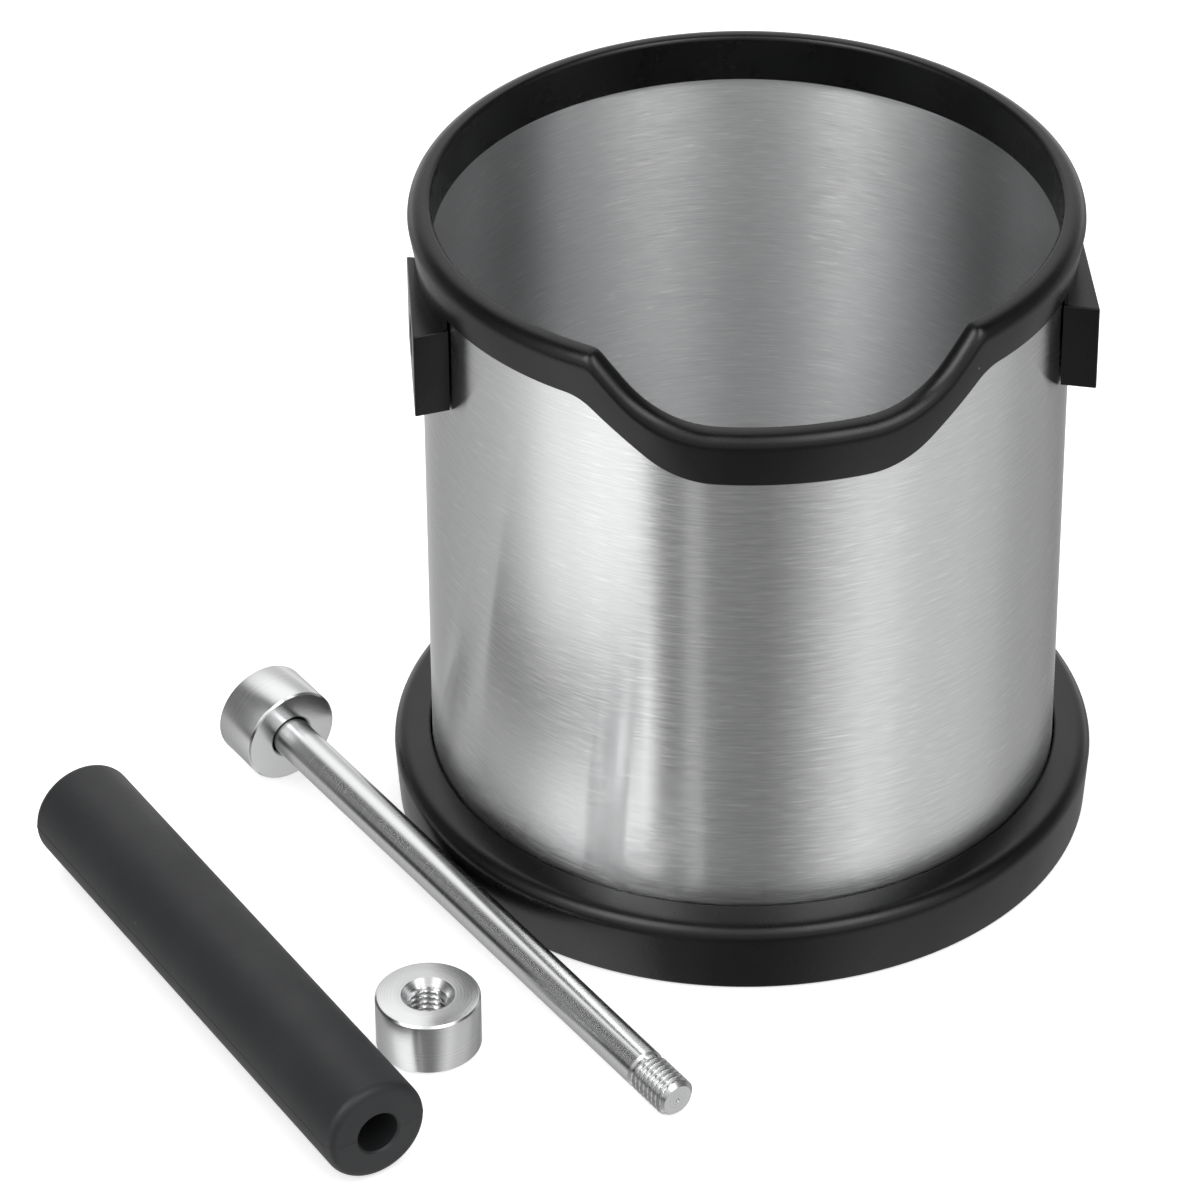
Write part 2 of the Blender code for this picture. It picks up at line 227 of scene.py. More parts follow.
def bore(target, radius, length, at):
    """Cut a hole along X through the target."""
    bm = bmesh.new()
    bmesh.ops.create_cone(bm, cap_ends=True, segments=TURNED_STEPS, radius1=radius,
                          radius2=radius, depth=length)
    mesh = bpy.data.meshes.new("bore_cutter")
    bm.to_mesh(mesh)
    bm.free()
    cutter = bpy.data.objects.new("bore_cutter", mesh)
    bpy.context.collection.objects.link(cutter)
    cutter.matrix_world = Matrix.Translation(at) @ Matrix.Rotation(math.pi / 2.0, 4, "Y")
    cut = target.modifiers.new("bore", "BOOLEAN")
    cut.object = cutter
    cut.operation = "DIFFERENCE"
    cut.solver = "EXACT"
    bpy.context.view_layer.update()
    depsgraph = bpy.context.evaluated_depsgraph_get()
    result = bpy.data.meshes.new_from_object(target.evaluated_get(depsgraph))
    target.modifiers.clear()
    target.data = result
    bpy.data.objects.remove(cutter, do_unlink=True)


# ---------------------------------------------------------------------------
# Node tools
# ---------------------------------------------------------------------------
class Nodes:
    """A small builder for one node tree."""

    def __init__(self, tree):
        self.tree = tree

    def add(self, kind, inputs=None, **settings):
        made = self.tree.nodes.new(kind)
        for key, value in settings.items():
            setattr(made, key, value)
        for key, value in (inputs or {}).items():
            self.feed(value, made.inputs[key])
        return made

    def feed(self, value, socket):
        if isinstance(value, bpy.types.NodeSocket):
            self.tree.links.new(value, socket)
        else:
            socket.default_value = value

    def math(self, operation, first, second=0.0, clamp=False):
        made = self.add("ShaderNodeMath", {0: first, 1: second}, operation=operation, use_clamp=clamp)
        return made.outputs[0]

    def spread(self, value, low_in, high_in, low_out, high_out):
        made = self.add("ShaderNodeMapRange", {"Value": value, "From Min": low_in, "From Max": high_in,
                                               "To Min": low_out, "To Max": high_out})
        return made.outputs[0]

    def noise(self, vector, scale, detail=3.0, rough=0.5):
        inputs = {"Vector": vector, "Scale": scale, "Detail": detail, "Roughness": rough}
        return self.add("ShaderNodeTexNoise", inputs).outputs["Fac"]

    def stretched(self, vector, x, y, z):
        made = self.add("ShaderNodeVectorMath", {0: vector, 1: (x, y, z)}, operation="MULTIPLY")
        return made.outputs[0]

    def mix(self, factor, first, second):
        made = self.add("ShaderNodeMix", {0: factor, 6: first, 7: second}, data_type="RGBA")
        return made.outputs[2]

    def bump(self, height, strength, distance, normal=None):
        inputs = {"Height": height, "Strength": strength, "Distance": distance}
        if normal is not None:
            inputs["Normal"] = normal
        return self.add("ShaderNodeBump", inputs).outputs["Normal"]


def new_material(name, metallic):
    material = bpy.data.materials.new(name)
    material.use_nodes = True
    tree = material.node_tree
    shader = tree.nodes["Principled BSDF"]
    shader.inputs["Metallic"].default_value = metallic
    return material, Nodes(tree), shader


def object_vector(nodes):
    return nodes.add("ShaderNodeTexCoord").outputs["Object"]


# ---------------------------------------------------------------------------
# Materials
# ---------------------------------------------------------------------------
BLACK_RUBBER = {
    "dark": (0.0024, 0.0025, 0.0028), "light": (0.0036, 0.0037, 0.0040), "roughness": 0.28,
    "head_on": 0.60,                # how much of the reflection is left when seen head on
    "grain": 0.2}
SLEEVE_RUBBER = {
    "dark": (0.013, 0.0138, 0.0152), "light": (0.018, 0.0188, 0.0204), "roughness": 0.52,
    "head_on": 0.8,
    "grain": 0.35}
RUBBER_ROUGHNESS_DOWN = 0.04
RUBBER_ROUGHNESS_UP = 0.05
GRAIN_HEIGHT = 0.12 * MM
BLOTCH_SCALE = 38.0                 # per metre, as the other scales are
WEAR_SCALE = 120.0
PEBBLE_SCALE = 700.0
FINE_SCALE = 2600.0
PEBBLE_SHARE = 0.8
FINE_SHARE = 0.6
LINT_COLOUR = (0.30, 0.30, 0.31, 1.0)
LINT_CELLS = 210.0                  # per metre; a few of the cells hold a speck
LINT_EMPTY = 0.94
LINT_EDGE = (0.03, 0.06)            # a speck fades out between these parts of its cell
LINT_STRENGTH = 0.35

BRUSHED_DARK = (0.60, 0.604, 0.608, 1.0)
BRUSHED_LIGHT = (0.70, 0.704, 0.708, 1.0)
SCRATCH_COLOUR = (0.86, 0.86, 0.86, 1.0)
SCRATCH_RANGE = (0.62, 0.74)        # the brightest dashes are scratches
SCRATCH_STRENGTH = 0.4
HAIR_SHARE = 0.55
DASH_SHARE = 0.45
STREAK_TONES = (0.36, 0.64)
HAIR_STRETCH = (110.0, 110.0, 5200.0)
DASH_STRETCH = (240.0, 240.0, 3200.0)
OUTSIDE_ROUGHNESS = (0.19, 0.25)
INSIDE_ROUGHNESS = (0.33, 0.41)
BRUSHED_HEIGHT = 0.04 * MM
BRUSHED_BUMP = 0.12
BRUSHED_GLARE = 1.0

TURNED_DARK = (0.55, 0.553, 0.556, 1.0)
TURNED_LIGHT = (0.66, 0.663, 0.665, 1.0)
TURNED_ROUGHNESS = (0.22, 0.28)
RINGS_OUTWARD = 7000.0              # per metre
RINGS_ALONG = 5200.0
TURNED_HEIGHT = 0.02 * MM
TURNED_BUMP = 0.06
TURNED_GLARE = 0.75
GRAIN_TURN = 0.25                   # a quarter turn: the glare runs across the grain
NOISE_SPREAD = (0.3, 0.7)           # the part of a noise's range that most of it fills


def rubber_material(name, dark, light, roughness, head_on, grain):
    """Moulded black rubber: fine grain, faint blotches, a few specks of lint."""
    material, nodes, shader = new_material(name, 0.0)
    place = object_vector(nodes)
    blotch = nodes.noise(place, BLOTCH_SCALE, 4.0)
    fine = nodes.noise(place, FINE_SCALE, 2.0, 0.6)
    pebble = nodes.noise(place, PEBBLE_SCALE, 3.0, 0.55)
    base = nodes.mix(nodes.spread(blotch, *NOISE_SPREAD, 0.0, 1.0), (*dark, 1.0), (*light, 1.0))
    cells = nodes.add("ShaderNodeTexVoronoi", {"Vector": place, "Scale": LINT_CELLS})
    lottery = nodes.add("ShaderNodeSeparateColor", {0: cells.outputs["Color"]}).outputs[0]
    chosen = nodes.math("GREATER_THAN", lottery, LINT_EMPTY)
    near = nodes.spread(cells.outputs["Distance"], *LINT_EDGE, 1.0, 0.0)
    speck = nodes.math("MULTIPLY", chosen, near, True)
    base = nodes.mix(nodes.math("MULTIPLY", speck, LINT_STRENGTH), base, LINT_COLOUR)
    nodes.feed(base, shader.inputs["Base Color"])
    rough = nodes.spread(nodes.noise(place, WEAR_SCALE, 4.0), 0.25, 0.75,
                         roughness - RUBBER_ROUGHNESS_DOWN, roughness + RUBBER_ROUGHNESS_UP)
    nodes.feed(rough, shader.inputs["Roughness"])
    height = nodes.math("ADD", nodes.math("MULTIPLY", fine, FINE_SHARE),
                        nodes.math("MULTIPLY", pebble, PEBBLE_SHARE))
    nodes.feed(nodes.bump(height, grain, GRAIN_HEIGHT), shader.inputs["Normal"])
    shader.inputs["Specular Tint"].default_value = (head_on, head_on, head_on, 1.0)
    return material


def run_glare_across_grain(nodes, shader, strength):
    """Stretch the reflections across a grain that runs round the Z axis."""
    shader.inputs["Anisotropic"].default_value = strength
    shader.inputs["Anisotropic Rotation"].default_value = GRAIN_TURN
    tangent = nodes.add("ShaderNodeTangent", direction_type="RADIAL", axis="Z")
    nodes.feed(tangent.outputs[0], shader.inputs["Tangent"])


def brushed_material():
    """Stainless sheet brushed round the drum: streaks run level, glare runs upright."""
    material, nodes, shader = new_material("brushed_steel", 1.0)
    place = object_vector(nodes)
    hair = nodes.noise(nodes.stretched(place, *HAIR_STRETCH), 1.0, 3.0, 0.6)
    dash = nodes.noise(nodes.stretched(place, *DASH_STRETCH), 1.0, 2.0, 0.5)
    scratch = nodes.spread(dash, *SCRATCH_RANGE, 0.0, 1.0)
    streak = nodes.math("ADD", nodes.math("MULTIPLY", hair, HAIR_SHARE),
                        nodes.math("MULTIPLY", dash, DASH_SHARE))
    tone = nodes.spread(streak, *STREAK_TONES, 0.0, 1.0)
    base = nodes.mix(tone, BRUSHED_DARK, BRUSHED_LIGHT)
    base = nodes.mix(nodes.math("MULTIPLY", scratch, SCRATCH_STRENGTH), base, SCRATCH_COLOUR)
    nodes.feed(base, shader.inputs["Base Color"])
    normal = nodes.add("ShaderNodeNewGeometry").outputs["True Normal"]
    outward = nodes.stretched(place, 1.0, 1.0, 0.0)
    facing = nodes.add("ShaderNodeVectorMath", {0: normal, 1: outward}, operation="DOT_PRODUCT")
    outside = nodes.math("GREATER_THAN", facing.outputs["Value"], 0.0)
    sharp = nodes.spread(streak, *NOISE_SPREAD, *OUTSIDE_ROUGHNESS)
    satin = nodes.spread(streak, *NOISE_SPREAD, *INSIDE_ROUGHNESS)
    rough = nodes.add("ShaderNodeMix", {0: outside, 2: satin, 3: sharp}, data_type="FLOAT").outputs[0]
    nodes.feed(rough, shader.inputs["Roughness"])
    run_glare_across_grain(nodes, shader, BRUSHED_GLARE)
    nodes.feed(nodes.bump(streak, BRUSHED_BUMP, BRUSHED_HEIGHT), shader.inputs["Normal"])
    return material


def turned_material():
    """Bright turned and ground steel: fine rings round the local Z axis."""
    material, nodes, shader = new_material("turned_steel", 1.0)
    place = object_vector(nodes)
    parts = nodes.add("ShaderNodeSeparateXYZ", {0: place})
    flat = nodes.stretched(place, 1.0, 1.0, 0.0)
    radius = nodes.add("ShaderNodeVectorMath", {0: flat}, operation="LENGTH").outputs["Value"]
    rings = nodes.add("ShaderNodeCombineXYZ", {0: nodes.math("MULTIPLY", radius, RINGS_OUTWARD),
                                               1: nodes.math("MULTIPLY", parts.outputs[2], RINGS_ALONG)})
    ring = nodes.noise(rings.outputs[0], 1.0, 2.0, 0.6)
    tone = nodes.spread(ring, *NOISE_SPREAD, 0.0, 1.0)
    nodes.feed(nodes.mix(tone, TURNED_DARK, TURNED_LIGHT), shader.inputs["Base Color"])
    nodes.feed(nodes.spread(ring, *NOISE_SPREAD, *TURNED_ROUGHNESS), shader.inputs["Roughness"])
    run_glare_across_grain(nodes, shader, TURNED_GLARE)
    nodes.feed(nodes.bump(ring, TURNED_BUMP, TURNED_HEIGHT), shader.inputs["Normal"])
    return material


# ---------------------------------------------------------------------------
# The rim's outline, shared by the sheet and the rubber
# ---------------------------------------------------------------------------
def notch_drop(along, depth, curve):
    """How far an edge lies below the rim's level at a distance along the wall from
    the notch's middle: a flat floor, a hollow arc, a straight slope and a shoulder."""
    hollow_r, shoulder_r, slope_deg = curve
    slope = math.radians(slope_deg)
    straight = (depth - (hollow_r + shoulder_r) * (1.0 - math.cos(slope))) / math.sin(slope)
    hollow_run = hollow_r * math.sin(slope)
    straight_run = straight * math.cos(slope)
    shoulder_run = shoulder_r * math.sin(slope)
    run = abs(along) - NOTCH_HALF_FLOOR
    if run <= 0.0:
        return depth
    if run <= hollow_run:
        return depth - (hollow_r - math.sqrt(hollow_r ** 2 - run ** 2))
    run -= hollow_run
    if run <= straight_run:
        return depth - hollow_r * (1.0 - math.cos(slope)) - run * math.tan(slope)
    left = shoulder_run - (run - straight_run)
    if left <= 0.0:
        return 0.0
    return shoulder_r - math.sqrt(shoulder_r ** 2 - left ** 2)


def along_wall(angle):
    """Distance along the wall from the notch's middle."""
    middle = math.radians(NOTCH_TURN_DEG - 90.0)
    turn = (angle - middle + math.pi) % (2.0 * math.pi) - math.pi
    return turn * CUP_R


def rim_top_z(angle):
    return RIM_TOP_Z - notch_drop(along_wall(angle), NOTCH_DEPTH, NOTCH_TOP_CURVE)


def leg_drop(angle):
    return notch_drop(along_wall(angle), NOTCH_LEG_DEPTH, NOTCH_LEG_CURVE)


def wall_top_z(angle):
    return rim_top_z(angle) - RIM_WEB - GAP


# ---------------------------------------------------------------------------
# Pieces
# ---------------------------------------------------------------------------
def build_boot(rubber):
    inner_r = CUP_R + GAP
    shoulder_r = BOOT_SIDE_R - BOOT_SHOULDER_R
    shoulder_z = BOOT_TOP_Z - BOOT_LIP_DROP - BOOT_SHOULDER_R
    foot_r = BOOT_SIDE_R - BOOT_FOOT_DRAFT
    profile = [(0.0, BOOT_FLOOR), (inner_r, BOOT_FLOOR)]
    profile += reversed(arc(inner_r + BOOT_LIP_R, BOOT_TOP_Z - BOOT_LIP_R, BOOT_LIP_R, 90.0, 180.0))
    profile += reversed(arc(shoulder_r, shoulder_z, BOOT_SHOULDER_R, 0.0, BOOT_SHOULDER_DEG))
    profile += reversed(arc(foot_r - BOOT_FOOT_ROUND, BOOT_FOOT_ROUND, BOOT_FOOT_ROUND, -90.0, 0.0))
    profile.append((0.0, 0.0))
    piece = turned("boot_rubber", profile, RING_STEPS, rubber, closed=False)
    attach(piece, "foot")
    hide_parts("base_boot")


def build_cup_wall(steel):
    inner_r = CUP_R - SHEET

    def section(angle):
        top = wall_top_z(angle)
        points = arc(CUP_R - WALL_EDGE_R, top - WALL_EDGE_R, WALL_EDGE_R, 90.0, 0.0)
        points += [(CUP_R, CUP_BOTTOM_Z), (inner_r, CUP_BOTTOM_Z)]
        points += arc(inner_r + WALL_EDGE_R, top - WALL_EDGE_R, WALL_EDGE_R, 180.0, 90.0)
        return points

    piece = lofted("drum_wall", section, RING_STEPS, steel, closed=True)
    bore(piece, BAR_HOLE_R, BORE_LENGTH, (0.0, BAR_Y, BAR_Z))
    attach(piece, "drum")
    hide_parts("cup_wall")


def build_cup_floor(steel):
    radius = CUP_R - SHEET - GAP
    top = FLOOR_HIGH.z
    profile = [(0.0, top)]
    profile += reversed(arc(radius - CUP_FLOOR_ROUND, top - CUP_FLOOR_ROUND, CUP_FLOOR_ROUND, 0.0, 90.0))
    profile += [(radius, FLOOR_LOW.z), (0.0, FLOOR_LOW.z)]
    piece = turned("drum_floor", profile, RING_STEPS, steel, closed=False)
    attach(piece, "drum")
    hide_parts("cup_floor")


def build_rim_guard(rubber):
    slot_out = CUP_R + GAP
    slot_in = CUP_R - SHEET - GAP
    crown_r = RIM_OUTER_R - RIM_ROUND_OUT

    def wave(angle, phase):
        total = sum(strength * math.sin(count * angle + share * phase)
                    for count, share, strength in RIM_WAVES)
        return RIM_WAVE * total / sum(strength for _, _, strength in RIM_WAVES)

    def section(angle):
        top = rim_top_z(angle)
        band = OUTER_BAND_Z - leg_drop(angle) + wave(angle, BAND_PHASE)
        skirt = INNER_SKIRT_Z - leg_drop(angle) + wave(angle, SKIRT_PHASE)
        slot_top = wall_top_z(angle) + GAP
        points = [(slot_out, slot_top), (slot_out, band)]
        points += arc(RIM_LOWER_R - RIM_EDGE_R, band + RIM_EDGE_R, RIM_EDGE_R, -90.0, 0.0)
        points += arc(crown_r, top - RIM_ROUND_OUT, RIM_ROUND_OUT, 0.0, 90.0)
        points += arc(RIM_INNER_R + RIM_ROUND_IN, top - RIM_ROUND_IN, RIM_ROUND_IN, 90.0, 180.0)
        points += arc(RIM_INNER_R + RIM_EDGE_R, skirt + RIM_EDGE_R, RIM_EDGE_R, 180.0, 270.0)
        points += [(slot_in, skirt), (slot_in, slot_top)]
        return points

    piece = lofted("rim_rubber", section, RING_STEPS, rubber, closed=True)
    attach(piece, "rim")
    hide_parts("rim_guard")


def lug_wall_angle(face_y, back_r):
    """Where round the wall an end face arrives that leans in from the flat face's end."""
    lean = math.copysign(math.tan(math.radians(LUG_FLARE_DEG)), face_y)
    wall_y = face_y
    for _ in range(LUG_BACK_ROUNDS):
        wall_y = face_y - lean * (LUG_FACE_X - math.sqrt(back_r ** 2 - wall_y ** 2))
    return math.asin(wall_y / back_r)


def lug_shell(outline, side, neck_r, neck_top):
    """Block between the lug's bottom and top, with a thin web up the wall behind it. The outline
    starts with the flat face's two ends and goes on along the wall."""
    low = []
    high = []
    for x, y in outline:
        low.append((side * x, y, LUG_BOTTOM_Z))
        high.append((side * x, y, LUG_TOP_Z))
    web = range(3, len(outline) - 1)
    web_foot = []
    web_back = []
    web_front = []
    for index in web:
        x, y = outline[index]
        grow = neck_r / math.hypot(x, y)
        web_foot.append((side * x * grow, y * grow, LUG_TOP_Z))
        web_back.append((side * x, y, neck_top))
        web_front.append((side * x * grow, y * grow, neck_top))
    bm = bmesh.new()
    low, high, web_foot, web_back, web_front = [
        [bm.verts.new(point) for point in row] for row in (low, high, web_foot, web_back, web_front)]
    wall = [high[index] for index in web]
    bm.faces.new(low)
    bm.faces.new(high[:4] + web_foot + high[-2:])
    for here in range(len(low)):
        there = (here + 1) % len(low)
        bm.faces.new((low[here], low[there], high[there], high[here]))
    for here in range(len(wall) - 1):
        there = here + 1
        bm.faces.new((wall[here], wall[there], web_back[there], web_back[here]))
        bm.faces.new((web_foot[here], web_foot[there], web_front[there], web_front[here]))
        bm.faces.new((web_back[here], web_back[there], web_front[there], web_front[here]))
    for end in (0, -1):
        bm.faces.new((wall[end], web_foot[end], web_front[end], web_back[end]))
    bmesh.ops.recalc_face_normals(bm, faces=bm.faces)
    return bm


def build_lug(name, node, side, rubber):
    back_r = CUP_R + GAP
    front_angle = lug_wall_angle(LUG_FRONT_Y, back_r)
    back_angle = lug_wall_angle(LUG_BACK_Y, back_r)
    outline = [(LUG_FACE_X, LUG_FRONT_Y), (LUG_FACE_X, LUG_BACK_Y)]
    for index in range(LUG_BACK_STEPS + 1):
        angle = back_angle + (front_angle - back_angle) * index / LUG_BACK_STEPS
        outline.append((back_r * math.cos(angle), back_r * math.sin(angle)))
    bm = lug_shell(outline, side, NECK_R, OUTER_BAND_Z + NECK_LAP)
    rounded = [edge for edge in bm.edges
               if any(abs(abs(vert.co.x) - LUG_FACE_X) < FLAT_TOLERANCE for vert in edge.verts)]
    bmesh.ops.bevel(bm, geom=rounded, offset=LUG_EDGE, segments=LUG_EDGE_STEPS, profile=0.5, affect="EDGES")
    piece = mesh_object(name, bm, rubber)
    bore(piece, BAR_HOLE_R, BORE_LENGTH, (0.0, BAR_Y, BAR_Z))
    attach(piece, "rim")
    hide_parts(node)


def thread_form(turns):
    """Height of a 60 degree thread's flank, 0 at the root and 1 at the crest."""
    phase = turns - math.floor(turns)
    height = 1.0 - abs(2.0 * phase - 1.0)
    return min(1.0, max(0.0, (height - THREAD_FLAT) / (1.0 - 2.0 * THREAD_FLAT)))


def bar_placement():
    """Matrix that carries local +Z along the rod, with the head's seat at the origin."""
    axis = Vector(MOUNTS["head_seat"]["axis"])
    middle = (HEAD_LOW + HEAD_HIGH) / 2.0
    return Matrix.Translation(middle + axis * KNOB_LENGTH / 2.0) @ along_axis(axis)


def build_rod(steel):
    thread_start = ROD_LENGTH - THREAD_LENGTH
    rows = math.ceil(THREAD_LENGTH / THREAD_PITCH * ROWS_PER_PITCH)
    relief_r = ROD_R - RELIEF_DEPTH
    tip_r = ROD_R - THREAD_DEPTH - TIP_INSET

    def section(angle):
        points = [(0.0, -ROD_SPIGOT), (ROD_R, -ROD_SPIGOT)]
        relief_start = thread_start - RELIEF_LENGTH
        points += [(ROD_R, relief_start - RELIEF_DEPTH), (relief_r, relief_start), (relief_r, thread_start)]
        for row in range(1, rows + 1):
            z = thread_start + THREAD_LENGTH * row / rows
            form = thread_form(z / THREAD_PITCH - angle / (2.0 * math.pi))
            cut = tip_r + (ROD_LENGTH - z)
            points.append((min(ROD_R - THREAD_DEPTH * (1.0 - form), cut), z))
        points += [(CENTRE_DOT_R, ROD_LENGTH), (0.0, ROD_LENGTH - CENTRE_DOT_R)]
        return points

    piece = lofted("rod", section, THREAD_STEPS, steel, closed=False, sharp_deg=ROD_SMOOTH_DEG)
    piece.matrix_world = bar_placement()
    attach(piece, "bar")
    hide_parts("bar_rod")


def knob_side(bottom, top):
    """Outer profile of a knob from one face's chamfer to the other's, going up."""
    inset = KNOB_R - KNOB_CHAMFER
    lower = bottom + KNOB_CHAMFER
    upper = top - KNOB_CHAMFER
    points = [(inset - KNOB_SOFT, bottom), (inset, bottom + KNOB_SOFT_DROP)]
    points += [(KNOB_R - KNOB_SOFT_DROP, lower), (KNOB_R, lower + KNOB_SOFT)]
    points += [(KNOB_R, upper - KNOB_SOFT), (KNOB_R - KNOB_SOFT_DROP, upper)]
    points += [(inset, top - KNOB_SOFT_DROP), (inset - KNOB_SOFT, top)]
    return points


def build_head(steel):
    bore_r = ROD_R + GAP
    bore_end = -ROD_SPIGOT - GAP
    profile = [(0.0, bore_end), (bore_r, bore_end), (bore_r, -HEAD_LEAD), (bore_r + HEAD_LEAD, 0.0)]
    profile += reversed(knob_side(-KNOB_LENGTH, 0.0))
    profile.append((0.0, -KNOB_LENGTH))
    piece = turned("rod_head", profile, TURNED_STEPS, steel, closed=False, sharp_deg=KNOB_SMOOTH_DEG)
    piece.matrix_world = bar_placement()
    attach(piece, "bar")
    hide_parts("bar_head")


def build_nut(steel):
    start = COUNTERSINK_DEPTH
    end = KNOB_LENGTH - COUNTERSINK_DEPTH
    rows = math.ceil((end - start) / THREAD_PITCH * ROWS_PER_PITCH)

    def section(angle):
        points = [(COUNTERSINK_R, 0.0)]
        points += knob_side(0.0, KNOB_LENGTH)
        points.append((COUNTERSINK_R, KNOB_LENGTH))
        for row in range(rows + 1):
            z = end + (start - end) * row / rows
            form = thread_form(z / THREAD_PITCH - angle / (2.0 * math.pi))
            points.append((NUT_MINOR_R + (NUT_MAJOR_R - NUT_MINOR_R) * form, z))
        return points

    piece = lofted("nut", section, TURNED_STEPS, steel, closed=True, sharp_deg=KNOB_SMOOTH_DEG)
    middle = (NUT_LOW + NUT_HIGH) / 2.0
    piece.matrix_world = Matrix.Translation((middle.x, middle.y, NUT_LOW.z))
    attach(piece, "nut")
    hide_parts("bar_nut")


def build_sleeve(rubber):
    """Rubber tube. Its mould parted level with the axis: a fine ridge down each side
    and a fine groove across each end."""
    round_at = SLEEVE_R - SLEEVE_END_R
    far = SLEEVE_LENGTH - SLEEVE_DOME
    mouth_r = SLEEVE_BORE_R + SLEEVE_MOUTH

    def section(angle):
        ridge = PARTING_RIDGE * max(0.0, 1.0 - abs(math.sin(angle)) / PARTING_SINE)
        groove = PARTING_GROOVE * max(0.0, 1.0 - abs(math.sin(angle)) / GROOVE_SINE)
        points = [(SLEEVE_BORE_R, SLEEVE_MOUTH), (mouth_r, groove)]
        points += arc(round_at, SLEEVE_DOME + SLEEVE_END_R, SLEEVE_END_R, -90.0, 0.0)
        points += [(SLEEVE_R, SLEEVE_LENGTH * share) for share in SLEEVE_ROWS]
        points += arc(round_at, far - SLEEVE_END_R, SLEEVE_END_R, 0.0, 90.0)
        points += [(mouth_r, SLEEVE_LENGTH - groove), (SLEEVE_BORE_R, SLEEVE_LENGTH - SLEEVE_MOUTH)]
        shaped = []
        for r, z in points:
            if r >= round_at:
                z = min(max(z, SLEEVE_DOME + groove), far - groove)
                r += ridge * (r - round_at) / SLEEVE_END_R
            shaped.append((r, z))
        return shaped

    piece = lofted("sleeve", section, RING_STEPS, rubber, closed=True)
    heading = math.radians(SLEEVE_HEADING)
    axis = Vector((math.cos(heading), math.sin(heading), 0.0))
    middle = (SLEEVE_LOW + SLEEVE_HIGH) / 2.0
    piece.matrix_world = Matrix.Translation(middle - axis * SLEEVE_LENGTH / 2.0) @ along_axis(axis)
    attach(piece, "sleeve")
    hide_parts("bar_sleeve")


# ---------------------------------------------------------------------------
# Studio
# ---------------------------------------------------------------------------
CAMERA_AT = Vector((-88.8 * MM, -975.8 * MM, 729.6 * MM))
CAMERA_HEADING = 0.06223           # radians from +Y towards +X
CAMERA_DOWN = 0.61158
CAMERA_ROLL = 0.00755
CAMERA_LENS = 183.66
SENSOR = 36.0

# Brightness that glossy rays see round the room: degrees from the camera's own bearing
# (to the camera's left is negative), value. The rings lie one above another: the table,
# the horizon, the walls, the soft boxes above them and the ceiling.
TABLE_RING = (
    (-180.0, 1.10), (-164.0, 0.72), (-146.0, 0.48), (-120.0, 0.56), (-94.0, 0.74), (-78.0, 1.16),
    (-62.0, 1.48), (-46.0, 1.54), (-37.0, 1.48), (-33.5, 1.15), (-29.5, 0.34), (-26.0, 0.24),
    (-22.0, 0.34), (-18.0, 0.56), (-14.0, 0.32), (4.0, 0.26), (14.0, 0.34), (24.0, 0.56),
    (36.0, 0.86), (46.0, 1.02), (62.0, 0.84), (94.0, 0.74), (108.0, 0.54), (135.0, 0.44),
    (148.0, 0.32), (164.0, 0.52), (180.0, 1.10))
HORIZON_RING = (
    (-180.0, 1.3), (-150.0, 1.2), (-120.0, 0.4), (-90.0, 0.25), (0.0, 0.12), (90.0, 0.25),
    (120.0, 0.4), (150.0, 1.2), (180.0, 1.3))
WALL_RING = (
    (-180.0, 0.85), (-155.0, 0.8), (-138.0, 0.60), (-125.0, 0.22), (-95.0, 0.20), (-80.0, 0.40),
    (-60.0, 1.2), (-40.0, 1.3), (0.0, 0.7), (35.0, 1.2), (60.0, 1.1), (80.0, 0.40),
    (95.0, 0.20), (125.0, 0.22), (140.0, 0.60), (160.0, 0.8), (180.0, 0.85))
OVERHEAD_RING = (
    (-180.0, 1.7), (-140.0, 1.4), (-115.0, 0.2), (-84.0, 0.0), (-72.0, 0.6), (-60.0, 5.4),
    (-44.0, 8.0), (-28.0, 3.6), (-8.0, 1.6), (10.0, 1.8), (26.0, 5.2), (40.0, 6.2),
    (52.0, 4.6), (66.0, 1.4), (80.0, 0.0), (115.0, 0.2), (140.0, 1.4), (180.0, 1.7))
ZENITH_RING = (
    (-180.0, 1.6), (-130.0, 1.2), (-90.0, 0.1), (0.0, 0.02), (90.0, 0.1), (130.0, 1.2), (180.0, 1.6))
RINGS = (TABLE_RING, HORIZON_RING, WALL_RING, OVERHEAD_RING, ZENITH_RING)
# Sines of the heights that each ring blends into the next between.
RING_BLENDS = ((-0.30, -0.10), (-0.06, 0.14), (0.46, 0.70), (0.86, 0.95))
STRIPE = 0.10                      # the rings' brightness ripples by this much
STRIPE_SCALE = 90.0
ROOM_LIGHT = 1.05

FLOOR_HALF_SIZE = 3.0
FLOOR_CELLS = 8
FLOOR_DROP = 0.1 * MM
FLOOR_WHITE = (0.9, 0.9, 0.9, 1.0)
FLOOR_GLOW = 0.55
WHITE = (1.0, 1.0, 1.0, 1.0)


def build_camera():
    data = bpy.data.cameras.new("camera")
    data.lens = CAMERA_LENS
    data.sensor_width = SENSOR
    data.clip_start = 0.05
    data.clip_end = 50.0
    camera = bpy.data.objects.new("camera", data)
    bpy.context.collection.objects.link(camera)
    forward = Vector((math.sin(CAMERA_HEADING) * math.cos(CAMERA_DOWN),
                      math.cos(CAMERA_HEADING) * math.cos(CAMERA_DOWN), -math.sin(CAMERA_DOWN)))
    level = forward.cross(Vector((0.0, 0.0, 1.0))).normalized()
    down = forward.cross(level)
    right = level * math.cos(CAMERA_ROLL) + down * math.sin(CAMERA_ROLL)
    up = -(down * math.cos(CAMERA_ROLL) - level * math.sin(CAMERA_ROLL))
    turn = Matrix((right, up, -forward)).transposed().to_4x4()
    camera.matrix_world = Matrix.Translation(CAMERA_AT) @ turn
    bpy.context.scene.camera = camera


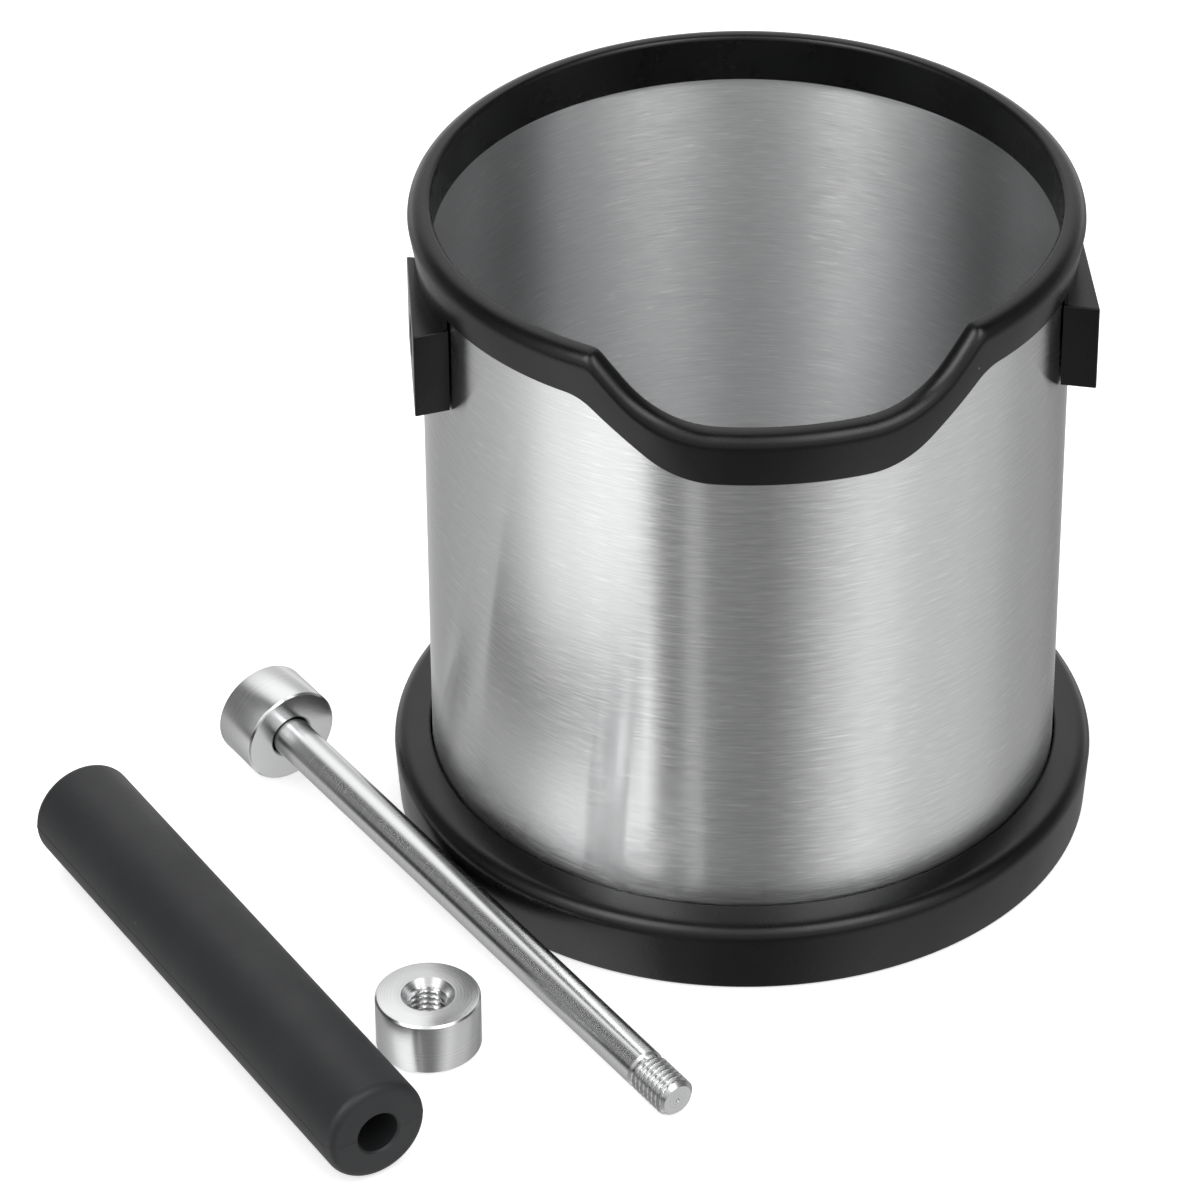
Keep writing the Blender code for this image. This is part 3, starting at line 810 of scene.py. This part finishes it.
def ring_light(nodes, share, stops):
    """Brightness by bearing; share runs 0 to 1 once round the room."""
    curve = nodes.add("ShaderNodeFloatCurve", {"Factor": 1.0, "Value": share})
    line = curve.mapping.curves[0]
    top = max(value for _, value in stops)
    for index, (degrees, value) in enumerate(stops):
        place = ((degrees + 180.0) / 360.0, value / top)
        if index < 2:
            line.points[index].location = place
        else:
            line.points.new(*place)
    curve.mapping.update()
    return nodes.math("MULTIPLY", curve.outputs[0], top)


def build_world():
    """White room. Glossy rays see the rings instead of plain white."""
    world = bpy.data.worlds.new("studio")
    bpy.context.scene.world = world
    world.use_nodes = True
    tree = world.node_tree
    nodes = Nodes(tree)
    direction = nodes.add("ShaderNodeTexCoord").outputs["Generated"]
    parts = nodes.add("ShaderNodeSeparateXYZ", {0: direction})
    backwards_y = nodes.math("MULTIPLY", parts.outputs[1], -1.0)
    bearing = nodes.math("ARCTAN2", parts.outputs[0], backwards_y)
    bearing = nodes.math("ADD", bearing, CAMERA_HEADING)
    share = nodes.spread(nodes.math("WRAP", bearing, math.pi), -math.pi, math.pi, 0.0, 1.0)
    share.node.inputs["Value"].links[0].from_node.inputs[2].default_value = -math.pi
    bright = ring_light(nodes, share, RINGS[0])
    for (low_sine, high_sine), stops in zip(RING_BLENDS, RINGS[1:]):
        raised = nodes.spread(parts.outputs[2], low_sine, high_sine, 0.0, 1.0)
        above = ring_light(nodes, share, stops)
        bright = nodes.add("ShaderNodeMix", {0: raised, 2: bright, 3: above}, data_type="FLOAT").outputs[0]
    across = nodes.add("ShaderNodeCombineXYZ", {0: share, 1: 0.0, 2: 0.0}).outputs[0]
    ripple = nodes.spread(nodes.noise(across, STRIPE_SCALE, 4.0, 0.6), *NOISE_SPREAD,
                          1.0 - STRIPE, 1.0 + STRIPE)
    ring = nodes.math("MULTIPLY", bright, ripple)
    rays = nodes.add("ShaderNodeLightPath")
    background = tree.nodes["Background"]
    glossy = rays.outputs["Is Glossy Ray"]
    seen = nodes.add("ShaderNodeMix", {0: glossy, 2: ROOM_LIGHT, 3: ring}, data_type="FLOAT")
    nodes.feed(seen.outputs[0], background.inputs["Strength"])
    background.inputs["Color"].default_value = WHITE


def build_floor():
    """Plain white sweep, faintly lit from below so that it stays pale."""
    bm = bmesh.new()
    bmesh.ops.create_grid(bm, x_segments=FLOOR_CELLS, y_segments=FLOOR_CELLS, size=FLOOR_HALF_SIZE)
    material, _, shader = new_material("floor_white", 0.0)
    shader.inputs["Base Color"].default_value = FLOOR_WHITE
    shader.inputs["Roughness"].default_value = 0.9
    shader.inputs["Emission Color"].default_value = WHITE
    shader.inputs["Emission Strength"].default_value = FLOOR_GLOW
    floor = mesh_object("floor", bm, material)
    floor.location.z = -FLOOR_DROP
    floor.visible_glossy = False


def main():
    rubber = rubber_material("black_rubber", **BLACK_RUBBER)
    matte = rubber_material("sleeve_rubber", **SLEEVE_RUBBER)
    brushed = brushed_material()
    bright = turned_material()
    build_boot(rubber)
    build_cup_wall(brushed)
    build_cup_floor(brushed)
    build_rim_guard(rubber)
    build_lug("lug_block_right", "lug_right", 1.0, rubber)
    build_lug("lug_block_left", "lug_left", -1.0, rubber)
    build_rod(bright)
    build_head(bright)
    build_nut(bright)
    build_sleeve(matte)
    build_floor()
    build_world()
    build_camera()
    bpy.context.scene.view_settings.view_transform = "Standard"


main()
